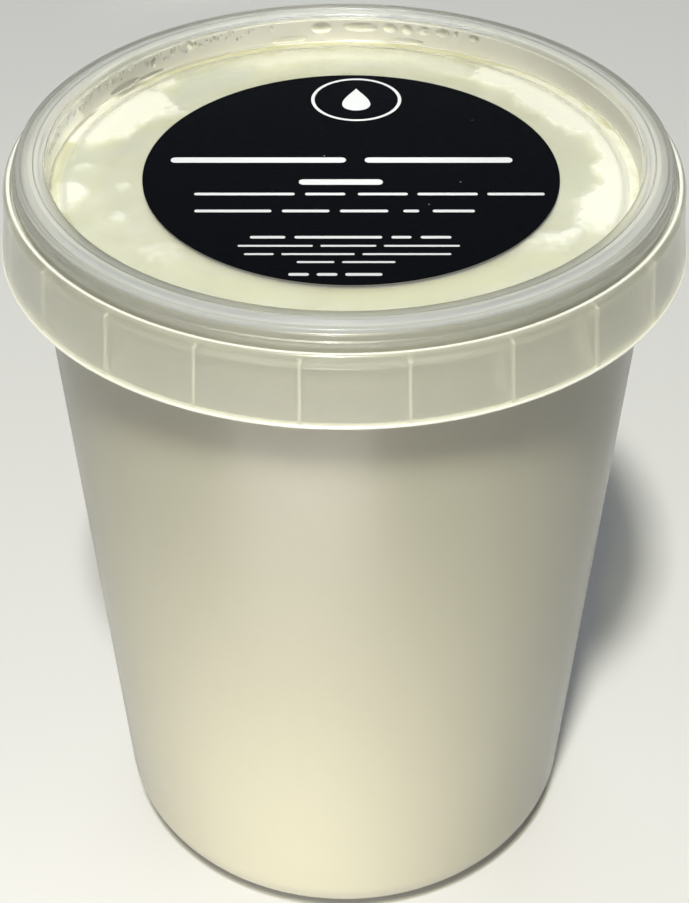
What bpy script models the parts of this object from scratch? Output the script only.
"""Yogurt pot: a tapered half-litre tub with a ribbed tamper skirt, its snap lid, a round label and the yogurt.

Run it with blender --background --python part.py, or from Blender's text editor.
The pot stands on the plane z = 0, centred on the Z axis, and its front is -Y.
Sizes are in millimetres, radii are measured from the Z axis and heights from the standing ring.
"""

import math

import bmesh
import bpy

MM = 0.001
SEGMENTS = 66  # three facets between ribs
MERGE_DISTANCE = 0.00001  # metres
GAP = 0.3  # clearance between pieces that touch in the real pot
SHARP_ANGLE = math.radians(35)

# Tub wall: a cone whose outer radius is known at the height of the skirt's lower edge
TUB_RADIUS = 42.7
TUB_TAPER = 0.066  # radius gained per unit of height
TUB_WALL = 0.8
BASE_CORNER = 8.1
CORNER_STEPS = 6
INNER_CORNER = 6.4
FLOOR_THICKNESS = 1.0
FOOT_WIDTH = 2.5
FOOT_RECESS = 0.8
FOOT_SLOPE = 0.5

# Rim that the lid snaps over
RIM_TOP = 118.1
RIM_BEAD = 0.7
RIM_STEPS = 6
RIM_END_ANGLE = -30
RIM_UNDERCUT = 116.5

# Tamper skirt: it flares a little towards its lower edge, and rounds in to its top
SKIRT_BOTTOM = 106.5
SKIRT_SHOULDER = 115.0
SKIRT_TOP = 116.4
SKIRT_BOTTOM_RADIUS = 47.4
SKIRT_RADIUS = 46.45
SKIRT_WALL = 0.8
SKIRT_EDGE = 0.25
SHOULDER_WIDTH = 0.7
SHOULDER_STEPS = 4
MOUTH_RADIUS = 45.4
FLARE_POWER = 1.5
FLARE_STEPS = 3

# A web joins the skirt to the tub below the rim, and thin ribs stiffen the space under it
WEB_BOTTOM = 114.4
WEB_TOP = 115.2
RIB_COUNT = 22
RIB_THICKNESS = 0.7
RIB_BOTTOM = 106.8
FIRST_RIB = math.radians(-55.73)  # measured from the front, positive towards +X

# Lid panel, the moat round it and the recess wall that leans out from the moat
PANEL_TOP = 115.0
PANEL_RADIUS = 38.3
MOAT_RADIUS = 39.7
MOAT_FLOOR = 114.0
MOAT_FLAT = 0.5
MOAT_ROUND = 0.3
LID_WALL = 0.8
WALL_FOOT_RADIUS = 40.3
WALL_HEAD_RADIUS = 41.1
WALL_HEAD = 118.5

# Lid ring: a raised crest, a groove, a top edge and two small ledges outside it
RING_TOP = 119.3
CREST_RADIUS = 42.35
SHOULDER_RISE = 0.8
CREST_STEPS = 4
GROOVE_RADIUS = 43.6
GROOVE_HEIGHT = 118.85
GROOVE_HALF_WIDTH = 0.3
EDGE_RADIUS = 44.4
EDGE_HEIGHT = 119.0
LEDGES = ((44.7, 118.3), (45.05, 117.5))
LEDGE_WIDTH = 0.2
LEDGE_ROUND = 0.12

# Lid hook: it goes down inside the skirt, and a bead on it snaps under the rim
HOOK_RADIUS = 44.9
HOOK_WALL = 0.55
HOOK_SHOULDER = 116.75
HOOK_BOTTOM = 115.55
SNAP_BEAD = 0.55
SNAP_HEIGHT = 0.45
HOOK_CHAMFER = (0.45, 0.7)

# Label and contents
LABEL_RADIUS = 28.5
LABEL_THICKNESS = 0.2
LABEL_CENTRE = (0.9, -0.4)
FILL_HEIGHT = 112.9
FILL_EDGE = 0.3

LEAN = math.atan(TUB_TAPER)
FLOOR_TOP = FOOT_RECESS + FLOOR_THICKNESS

PLASTIC = (0.78, 0.79, 0.71)
PAPER = (0.012, 0.014, 0.022)
CREAM = (0.83, 0.81, 0.66)


def clear_scene():
    """Removes what the scene holds."""
    for thing in list(bpy.data.objects):
        bpy.data.objects.remove(thing)


def new_collection(name):
    """A collection of that name in the scene."""
    group = bpy.data.collections.new(name)
    bpy.context.scene.collection.children.link(group)
    return group


def material(name, colour, roughness, transmission=0.0):
    """A Principled material of one colour."""
    made = bpy.data.materials.new(name)
    made.use_nodes = True
    shader = made.node_tree.nodes["Principled BSDF"]
    shader.inputs["Base Color"].default_value = (*colour, 1.0)
    shader.inputs["Roughness"].default_value = roughness
    shader.inputs["Metallic"].default_value = 0.0
    shader.inputs["Transmission Weight"].default_value = transmission
    return made


def wall_radius(height, inset=0.0):
    """Radius of the tub wall at a height, that far in from its outer face."""
    rise = height - SKIRT_BOTTOM
    return TUB_RADIUS + (rise * math.sin(LEAN) - inset) / math.cos(LEAN)


def skirt_radius(height, inset=0.0):
    """Radius of the skirt at a height, that far in from its outer face."""
    share = max(SKIRT_SHOULDER - height, 0.0) / (SKIRT_SHOULDER - SKIRT_BOTTOM)
    flare = (SKIRT_BOTTOM_RADIUS - SKIRT_RADIUS) * share**FLARE_POWER
    return SKIRT_RADIUS + flare - inset


def arc(centre, size, start, end, steps):
    """Points on an arc of (across, up) half-sizes about a centre, from one angle in degrees to another."""
    points = []
    for step in range(steps + 1):
        angle = math.radians(start + (end - start) * step / steps)
        radius = centre[0] + size[0] * math.cos(angle)
        height = centre[1] + size[1] * math.sin(angle)
        points.append((radius, height))
    return points


def base_corner(floor, inset, size):
    """The rounded corner between a floor and the wall surface that far in, from the floor up."""
    centre = (wall_radius(floor + size, inset + size), floor + size)
    return arc(centre, (size, size), -90, -math.degrees(LEAN), CORNER_STEPS)


def turned(name, profile, finish, group):
    """A solid of revolution about Z from (radius, height) points, which run down its outer side."""
    outline = bpy.data.meshes.new(name)
    points = [(radius * MM, 0.0, height * MM) for radius, height in profile]
    edges = [(index, index + 1) for index in range(len(points) - 1)]
    outline.from_pydata(points, edges, [])
    outline.materials.append(finish)
    piece = bpy.data.objects.new(name, outline)
    group.objects.link(piece)
    screw = piece.modifiers.new("Turn", "SCREW")
    screw.axis = "Z"
    screw.angle = math.tau
    screw.steps = SEGMENTS
    screw.render_steps = SEGMENTS
    screw.use_merge_vertices = True
    screw.merge_threshold = MERGE_DISTANCE
    screw.use_smooth_shade = True
    return piece


def settle(piece):
    """Replaces a piece's modifiers by their result, shaded smooth between its sharp corners."""
    graph = bpy.context.evaluated_depsgraph_get()
    mesh = bpy.data.meshes.new_from_object(piece.evaluated_get(graph))
    mesh.name = piece.name
    piece.modifiers.clear()
    piece.data = mesh
    mesh.shade_smooth()
    mesh.set_sharp_from_angle(angle=SHARP_ANGLE)


def rim_profile():
    """The bead round the tub's mouth, from the inner wall over its top, and the neck below it."""
    centre_height = RIM_TOP - RIM_BEAD
    centre = (wall_radius(centre_height, TUB_WALL) + RIM_BEAD, centre_height)
    neck = [
        (wall_radius(RIM_UNDERCUT), RIM_UNDERCUT),
        (wall_radius(WEB_TOP), WEB_TOP),
    ]
    return arc(centre, (RIM_BEAD, RIM_BEAD), 180, RIM_END_ANGLE, RIM_STEPS) + neck


def skirt_profile():
    """The skirt's section, from the web's upper face over its top and round its lower edge to the web."""
    mouth = [
        (skirt_radius(WEB_TOP, SKIRT_WALL), WEB_TOP),
        (MOUTH_RADIUS, SKIRT_TOP - SKIRT_EDGE),
        (MOUTH_RADIUS + SKIRT_EDGE / 2, SKIRT_TOP),
    ]
    shoulder_centre = (SKIRT_RADIUS - SHOULDER_WIDTH, SKIRT_SHOULDER)
    shoulder_size = (SHOULDER_WIDTH, SKIRT_TOP - SKIRT_SHOULDER)
    shoulder = arc(shoulder_centre, shoulder_size, 90, 0, SHOULDER_STEPS)
    lowest = SKIRT_BOTTOM + SKIRT_EDGE
    fall = (SKIRT_SHOULDER - lowest) / FLARE_STEPS
    levels = [SKIRT_SHOULDER - fall * step for step in range(1, FLARE_STEPS + 1)]
    outer = [(skirt_radius(level), level) for level in levels]
    edge = [
        (skirt_radius(SKIRT_BOTTOM, SKIRT_EDGE), SKIRT_BOTTOM),
        (skirt_radius(SKIRT_BOTTOM, SKIRT_WALL - SKIRT_EDGE), SKIRT_BOTTOM),
    ]
    inner = [(skirt_radius(level, SKIRT_WALL), level) for level in levels[::-1] + [WEB_BOTTOM]]
    return mouth + shoulder + outer + edge + inner


def tub_profile():
    """The tub's section: inner floor and wall, rim, web, skirt, outer wall, corner and standing ring."""
    inside = [(0.0, FLOOR_TOP)] + base_corner(FLOOR_TOP, TUB_WALL, INNER_CORNER)
    outside = [(wall_radius(WEB_BOTTOM), WEB_BOTTOM)] + base_corner(0.0, 0.0, BASE_CORNER)[::-1]
    foot_radius = outside[-1][0] - FOOT_WIDTH
    foot = [
        (foot_radius, 0.0),
        (foot_radius - FOOT_SLOPE, FOOT_RECESS),
        (0.0, FOOT_RECESS),
    ]
    return inside + rim_profile() + skirt_profile() + outside + foot


def make_tub(finish, group, helpers):
    """The tub with its skirt, and the ribs joined to both."""
    tub = turned("tub", tub_profile(), finish, group)
    ribs = [make_rib(index, helpers) for index in range(RIB_COUNT)]
    union = tub.modifiers.new("Ribs", "BOOLEAN")
    union.operation = "UNION"
    union.solver = "EXACT"
    union.operand_type = "COLLECTION"
    union.collection = helpers
    settle(tub)
    for rib in ribs:
        bpy.data.objects.remove(rib)


def make_rib(index, group):
    """One thin radial rib, whose inner side leans with the tub and outer side with the skirt."""
    shape = bmesh.new()
    bmesh.ops.create_cube(shape, size=1.0)
    for corner in shape.verts:
        height = RIB_BOTTOM if corner.co.z < 0 else (WEB_BOTTOM + WEB_TOP) / 2
        if corner.co.x < 0:
            radius = wall_radius(height, TUB_WALL / 2)
        else:
            radius = skirt_radius(height, SKIRT_WALL / 2)
        corner.co = (radius * MM, corner.co.y * RIB_THICKNESS * MM, height * MM)
    mesh = bpy.data.meshes.new(f"rib_{index}")
    shape.to_mesh(mesh)
    shape.free()
    rib = bpy.data.objects.new(mesh.name, mesh)
    rib.rotation_euler.z = FIRST_RIB + index * math.tau / RIB_COUNT - math.pi / 2
    rib.display_type = "WIRE"
    rib.hide_render = True
    group.objects.link(rib)
    return rib


def ring_profile():
    """The top of the lid's ring, from the recess wall's head outwards to the hook's shoulder."""
    crest_size = (CREST_RADIUS - WALL_HEAD_RADIUS, SHOULDER_RISE)
    crest = arc((CREST_RADIUS, WALL_HEAD), crest_size, 180, 90, CREST_STEPS)
    groove = [
        (2 * CREST_RADIUS / 3 + GROOVE_RADIUS / 3, RING_TOP - LEDGE_ROUND / 2),
        (GROOVE_RADIUS - GROOVE_HALF_WIDTH, GROOVE_HEIGHT + LEDGE_ROUND / 2),
        (GROOVE_RADIUS, GROOVE_HEIGHT),
        (GROOVE_RADIUS + GROOVE_HALF_WIDTH, EDGE_HEIGHT),
        (EDGE_RADIUS - LEDGE_ROUND, EDGE_HEIGHT),
        (EDGE_RADIUS, EDGE_HEIGHT - LEDGE_ROUND),
    ]
    ledges = []
    for radius, height in LEDGES:
        ledges.append((radius - LEDGE_WIDTH, height + LEDGE_ROUND))
        ledges.append((radius, height - LEDGE_ROUND))
    foot = [
        (LEDGES[-1][0], HOOK_SHOULDER + LEDGE_ROUND),
        (HOOK_RADIUS, HOOK_SHOULDER - LEDGE_ROUND),
    ]
    return crest + groove + ledges + foot


def hook_profile():
    """The lid's hook, from its outer face round its lower edge and snap bead to its root."""
    inner = HOOK_RADIUS - HOOK_WALL
    bead = inner - SNAP_BEAD
    root = RIM_TOP + GAP
    return [
        (HOOK_RADIUS, HOOK_BOTTOM + LEDGE_WIDTH),
        (HOOK_RADIUS - LEDGE_WIDTH, HOOK_BOTTOM),
        (bead + SNAP_BEAD / 2, HOOK_BOTTOM),
        (bead, HOOK_BOTTOM + SNAP_HEIGHT),
        (bead, HOOK_BOTTOM + 2 * SNAP_HEIGHT - LEDGE_ROUND),
        (inner, HOOK_BOTTOM + 3 * SNAP_HEIGHT),
        (inner, root - HOOK_CHAMFER[1]),
        (inner - HOOK_CHAMFER[0], root),
        (WALL_HEAD_RADIUS + 1.5 * LID_WALL, root),
        (WALL_HEAD_RADIUS + LID_WALL, root - LID_WALL / 2),
    ]


def lid_profile():
    """The lid's section: panel, moat, recess wall, ring and hook, then back along the underside."""
    panel = [
        (0.0, PANEL_TOP),
        (PANEL_RADIUS, PANEL_TOP),
        (MOAT_RADIUS - MOAT_FLAT, MOAT_FLOOR + MOAT_ROUND),
        (MOAT_RADIUS - MOAT_FLAT / 2, MOAT_FLOOR),
        (MOAT_RADIUS + MOAT_FLAT / 2, MOAT_FLOOR),
        (WALL_FOOT_RADIUS, MOAT_FLOOR + MOAT_ROUND),
    ]
    below = MOAT_FLOOR - LID_WALL
    underside = [
        (WALL_FOOT_RADIUS + LID_WALL, MOAT_FLOOR),
        (WALL_FOOT_RADIUS + LID_WALL - MOAT_ROUND, below + MOAT_ROUND),
        (WALL_FOOT_RADIUS, below),
        (MOAT_RADIUS - MOAT_FLAT, below),
        (PANEL_RADIUS - MOAT_ROUND, PANEL_TOP - LID_WALL),
        (0.0, PANEL_TOP - LID_WALL),
    ]
    return panel + ring_profile() + hook_profile() + underside


def make_label(finish, group):
    """The round label, a thin disc lying on the panel a little off its centre."""
    shape = bmesh.new()
    bmesh.ops.create_cone(
        shape,
        cap_ends=True,
        segments=SEGMENTS,
        radius1=LABEL_RADIUS * MM,
        radius2=LABEL_RADIUS * MM,
        depth=LABEL_THICKNESS * MM,
    )
    mesh = bpy.data.meshes.new("label")
    shape.to_mesh(mesh)
    shape.free()
    mesh.materials.append(finish)
    label = bpy.data.objects.new("label", mesh)
    height = PANEL_TOP + GAP + LABEL_THICKNESS / 2
    label.location = (LABEL_CENTRE[0] * MM, LABEL_CENTRE[1] * MM, height * MM)
    group.objects.link(label)
    mesh.shade_smooth()
    mesh.set_sharp_from_angle(angle=SHARP_ANGLE)


def yogurt_profile():
    """The contents: level on top, and a gap in from the tub's wall, corner and floor."""
    inset = TUB_WALL + GAP
    bottom = FLOOR_TOP + GAP
    top = [
        (0.0, FILL_HEIGHT),
        (wall_radius(FILL_HEIGHT, inset) - FILL_EDGE, FILL_HEIGHT),
        (wall_radius(FILL_HEIGHT - FILL_EDGE, inset), FILL_HEIGHT - FILL_EDGE),
    ]
    return top + base_corner(bottom, inset, INNER_CORNER - GAP)[::-1] + [(0.0, bottom)]


def main():
    clear_scene()
    pot = new_collection("yogurt_pot")
    helpers = new_collection("ribs")
    plastic = material("translucent polypropylene", PLASTIC, 0.32, 0.6)
    lid_plastic = material("translucent lid polypropylene", PLASTIC, 0.28, 0.6)
    paper = material("matt dark label paper", PAPER, 0.6)
    cream = material("set yogurt", CREAM, 0.35)
    make_tub(plastic, pot, helpers)
    settle(turned("lid", lid_profile(), lid_plastic, pot))
    make_label(paper, pot)
    settle(turned("yogurt", yogurt_profile(), cream, pot))


main()
